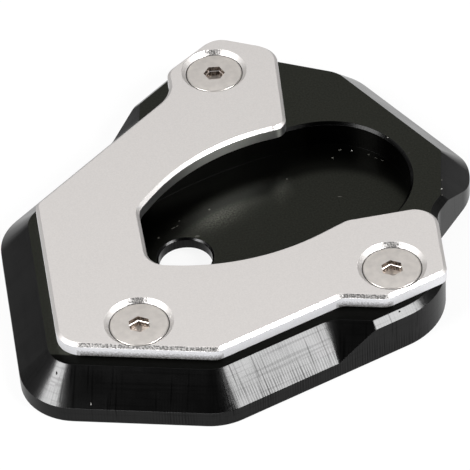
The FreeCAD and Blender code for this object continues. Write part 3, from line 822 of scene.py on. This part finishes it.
def turned_screw(sizes):
    """One countersunk screw with its head's face at Z = 0, worked out in mm."""
    head, shank, length, chamfer = 6.0, 3.0, 10.0, 0.6
    rim = sizes.head_round / MM
    pitch = sizes.thread_pitch / MM
    steps = [(head - rim, 0.0)]
    for share in (1, 2, 3):
        turn = math.radians(30 * share)
        steps.append((head - rim + rim * math.sin(turn), -rim + rim * math.cos(turn)))
    seat_foot = shank - head - rim
    steps.append((shank, seat_foot))
    # The thread, drawn as grooves a pitch apart.
    root = shank - 0.5 * pitch
    crest = seat_foot - 0.3 * pitch
    while crest - pitch > chamfer - length:
        steps += [(shank, crest), (root, crest - 0.45 * pitch), (root, crest - 0.55 * pitch)]
        crest -= pitch
    steps += [(shank, crest), (shank, chamfer - length), (shank - chamfer, -length)]
    screw = draw_down(steps)
    # The socket: the broached hexagon, the ledge where the broach stopped, a smaller hexagon
    # below it, and a drilled cone. The cutter starts a little above the face.
    corner = sizes.socket_flats / math.sqrt(3) / MM
    depth = sizes.socket_depth / MM
    above_face, broached, share, cone, tip = 0.05, 1.1, 0.955, 0.5, 0.02
    ledge = broached + math.cos(math.radians(30)) * (1 - share) * corner
    cutter = draw_down([(corner, above_face), (corner, -broached), (corner * share, -ledge),
                        (corner * share, -depth), (tip, -depth - cone)], 6)
    bpy.ops.object.mode_set(mode="EDIT")
    bpy.ops.transform.rotate(value=math.radians(30), orient_axis="Z", center_override=(0, 0, 0))
    leave_edit_mode()
    cut_away(screw, cutter)
    return screw


def seat_shadow_rings(name, places, radius, width):
    """Painted shade: thin dark rings in the narrow gap round the screws' heads, where shade falls.
    """
    bpy.ops.mesh.primitive_torus_add(major_segments=96, minor_segments=8,
                                     major_radius=radius, minor_radius=width / 2)
    rings = [bpy.context.object]
    rings += [own_copy(rings[0], name) for _ in places[1:]]
    for ring, place in zip(rings, places):
        ring.location = place
    return join_smooth(rings, name)


class STAND_OT_make_screws(bpy.types.Operator):
    """Three countersunk screws with hexagon sockets"""
    bl_idname = "stand.make_screws"
    bl_label = "Make screws"

    def execute(self, context):
        sizes = context.scene.finish_sizes
        master = turned_screw(sizes)
        pick(master)
        bpy.ops.object.shade_smooth_by_angle(angle=math.radians(35))
        layer = new_map(master)
        for corner in master.data.loops:
            place = master.data.vertices[corner.vertex_index].co
            layer.data[corner.index].uv = (place.x, place.y)
        steel = stainless_turned()
        broached = stainless_broached()
        # A socket's walls are the steep faces near the axis and not far below the head.
        socket_reach = sizes.socket_flats * 0.66
        socket_foot, steepest_floor = 4 * MM, 0.3
        shadow_ring_radius, shadow_ring_width = 6.1 * MM, 0.26 * MM
        rims = []
        for node, turn in SCREWS.items():
            piece = own_copy(master, f"{node}_turned")
            low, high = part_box(node)
            middle = Vector(((low[0] + high[0]) / 2, (low[1] + high[1]) / 2))
            face_height = high[2]
            piece.location = (*middle, face_height)
            piece.rotation_euler = (0, 0, math.radians(turn))
            pick(piece)
            bpy.ops.object.transform_apply(location=True, rotation=True, scale=False)
            hand_in(piece, "stainless_steel", steel, node)
            piece.data.materials.append(broached)
            for face in piece.data.polygons:
                inside = (face.center.xy - middle).length < socket_reach
                shallow = face.center.z > face_height - socket_foot
                if inside and shallow and abs(face.normal.z) < steepest_floor:
                    face.material_index = 1
            rims.append((*middle, face_height - shadow_ring_width))
        discard(master)
        # Painted shade: dark rings in the narrow gap round each head, in the grit material.
        rings = seat_shadow_rings("screw_seat_shadow", rims, shadow_ring_radius, shadow_ring_width)
        hand_in(rings, "stainless_steel", grit())
        return {"FINISHED"}


def dust_crumb():
    """An uneven crumb about a millimetre across, which each speck squeezes to its own size."""
    leave_edit_mode()
    bpy.ops.mesh.primitive_ico_sphere_add(subdivisions=2, radius=0.47 * MM)
    edit_whole()
    bpy.ops.transform.vertex_random(offset=0.09 * MM, seed=4)
    leave_edit_mode()
    return bpy.context.object


class STAND_OT_scatter_dust(bpy.types.Operator):
    """Dust, lint and dark grit that lie on the metal"""
    bl_idname = "stand.scatter_dust"
    bl_label = "Scatter dust"

    def execute(self, context):
        colours = context.scene.finish_colours
        thickness = 0.12
        crumb = dust_crumb()
        groups = (("dust_specks", lint("dust", colours.dust), DUST),
                  ("lint_specks", lint("lint", colours.lint), LINT),
                  ("grit_specks", grit(), GRIT))
        for name, material, specks in groups:
            flakes = []
            for x, y, z, length, width, turn, lean, facing in specks:
                flake = own_copy(crumb, name)
                flake.scale = (length, width, thickness)
                flake.rotation_euler = (
                    Matrix.Rotation(math.radians(facing), 3, "Z")
                    @ Matrix.Rotation(math.radians(lean), 3, "X")
                    @ Matrix.Rotation(math.radians(turn), 3, "Z")).to_euler()
                flake.location = (x * MM, y * MM, z * MM)
                flakes.append(flake)
            hand_in(join_smooth(flakes, name), "black_anodised_aluminium", material)
        discard(crumb)
        return {"FINISHED"}


# Stage

def direction(azimuth, elevation):
    """Towards a place round the part: azimuth 0 is the front and 90 the right."""
    level = math.cos(elevation)
    return Vector((level * math.sin(azimuth), -level * math.cos(azimuth), math.sin(elevation)))


def add_softbox(name, azimuth, elevation, distance, width, height, glow):
    """A rectangular lamp that faces the part, with its brightness as seen in a mirror. Angles
    are in degrees and lengths in metres."""
    towards = direction(math.radians(azimuth), math.radians(elevation))
    bpy.ops.object.light_add(type="AREA", location=towards * distance)
    lamp = bpy.context.object
    lamp.name = name
    lamp.rotation_euler = towards.to_track_quat("Z", "Y").to_euler()
    lamp.data.shape = "RECTANGLE"
    lamp.data.size = width
    lamp.data.size_y = height
    lamp.data.energy = math.pi * width * height * glow


def light_room(glow):
    """A room that is dark round the camera and pale behind the part, and white to the camera."""
    world = bpy.data.worlds.new("room")
    bpy.context.scene.world = world
    world.use_nodes = True
    tree = world.node_tree
    tree.nodes.clear()
    way = add_node(tree, "ShaderNodeTexCoord")
    parts = add_node(tree, "ShaderNodeSeparateXYZ", links={"Vector": way.outputs["Generated"]})
    behind = add_node(tree, "ShaderNodeMapRange",
                      {"interpolation_type": "SMOOTHSTEP", "From Min": -0.5, "From Max": 0.6,
                       "To Min": 0.03, "To Max": glow}, {"Value": parts.outputs["Y"]})
    above = add_node(tree, "ShaderNodeMapRange",
                     {"From Min": 0.0, "From Max": 0.5, "To Min": 0.4, "To Max": 1.0},
                     {"Value": parts.outputs["Z"]})
    strength = add_node(tree, "ShaderNodeMath", MULTIPLY, {0: behind, 1: above})
    room = add_node(tree, "ShaderNodeBackground", {"Color": (1.0, 1.0, 1.0, 1.0)},
                    {"Strength": strength})
    white = add_node(tree, "ShaderNodeBackground", {"Color": (1.0, 1.0, 1.0, 1.0), "Strength": 1.0})
    ray = add_node(tree, "ShaderNodeLightPath")
    mixed = add_node(tree, "ShaderNodeMixShader",
                     links={"Fac": ray.outputs["Is Camera Ray"], 1: room, 2: white})
    add_node(tree, "ShaderNodeOutputWorld", links={"Surface": mixed})


class STAND_OT_set_stage(bpy.types.Operator):
    """White table, soft lamps, room and camera"""
    bl_idname = "stand.set_stage"
    bl_label = "Set stage"

    def execute(self, context):
        leave_edit_mode()
        stage = context.scene.stage_settings
        gap = 0.02 * MM      # keeps the table's face clear of the part's
        bpy.ops.mesh.primitive_plane_add(size=20.0, location=(0, 0, -gap))
        table = bpy.context.object
        table.name = "table"
        table.data.materials.append(table_paper())
        add_softbox("right_softbox", 53, 38.5, 1.2, 0.53, 0.5, stage.softbox_glow)
        add_softbox("left_softbox", -68, 38, 1.2, 0.53, 0.5, stage.softbox_glow)
        add_softbox("overhead_panel", 20, 88, 1.3, 1.3, 1.3, stage.overhead_glow)
        add_softbox("low_fill", -12, 9, 1.2, 1.0, 0.2, stage.fill_glow)
        light_room(stage.room_glow)
        aim = Vector((-2.55, -12.2, 12.25)) * MM
        bpy.ops.object.camera_add()
        camera = bpy.context.object
        camera.name = "camera"
        camera.matrix_world = (
            Matrix.Translation(aim + direction(stage.azimuth, stage.elevation) * stage.distance)
            @ Matrix.Rotation(stage.azimuth, 4, "Z")
            @ Matrix.Rotation(math.pi / 2 - stage.elevation, 4, "X")
            @ Matrix.Rotation(stage.roll, 4, "Z"))
        camera.data.lens = stage.lens
        camera.data.sensor_width = SENSOR
        camera.data.clip_start = 0.05
        context.scene.camera = camera
        context.scene.view_settings.view_transform = "Standard"
        return {"FINISHED"}


class STAND_PT_panel(bpy.types.Panel):
    """Lists the pieces and the settings in the 3D view's sidebar"""
    bl_idname = "STAND_PT_panel"
    bl_label = "Foot enlarger"
    bl_space_type = "VIEW_3D"
    bl_region_type = "UI"
    bl_category = "Foot Enlarger"

    def draw(self, context):
        column = self.layout.column()
        for maker in MAKERS:
            column.operator(maker.bl_idname)
        for group in SETTINGS:
            settings = getattr(context.scene, group)
            for name in settings.bl_rna.properties.keys():
                if name not in ("rna_type", "name"):
                    column.prop(settings, name)


MAKERS = (STAND_OT_finish_base, STAND_OT_finish_plate, STAND_OT_make_screws,
          STAND_OT_scatter_dust, STAND_OT_set_stage)
SETTINGS = {"finish_colours": FinishColours, "finish_sizes": FinishSizes,
            "stage_settings": StageSettings}
CLASSES = (*SETTINGS.values(), *MAKERS, STAND_PT_panel)


def register():
    for entry in CLASSES:
        bpy.utils.register_class(entry)
    for name, group in SETTINGS.items():
        setattr(bpy.types.Scene, name, bpy.props.PointerProperty(type=group))


def unregister():
    for name in SETTINGS:
        delattr(bpy.types.Scene, name)
    for entry in reversed(CLASSES):
        bpy.utils.unregister_class(entry)


def main():
    register()
    bpy.ops.stand.finish_base()
    bpy.ops.stand.finish_plate()
    bpy.ops.stand.make_screws()
    bpy.ops.stand.scatter_dust()
    bpy.ops.stand.set_stage()


if __name__ == "__main__":
    main()
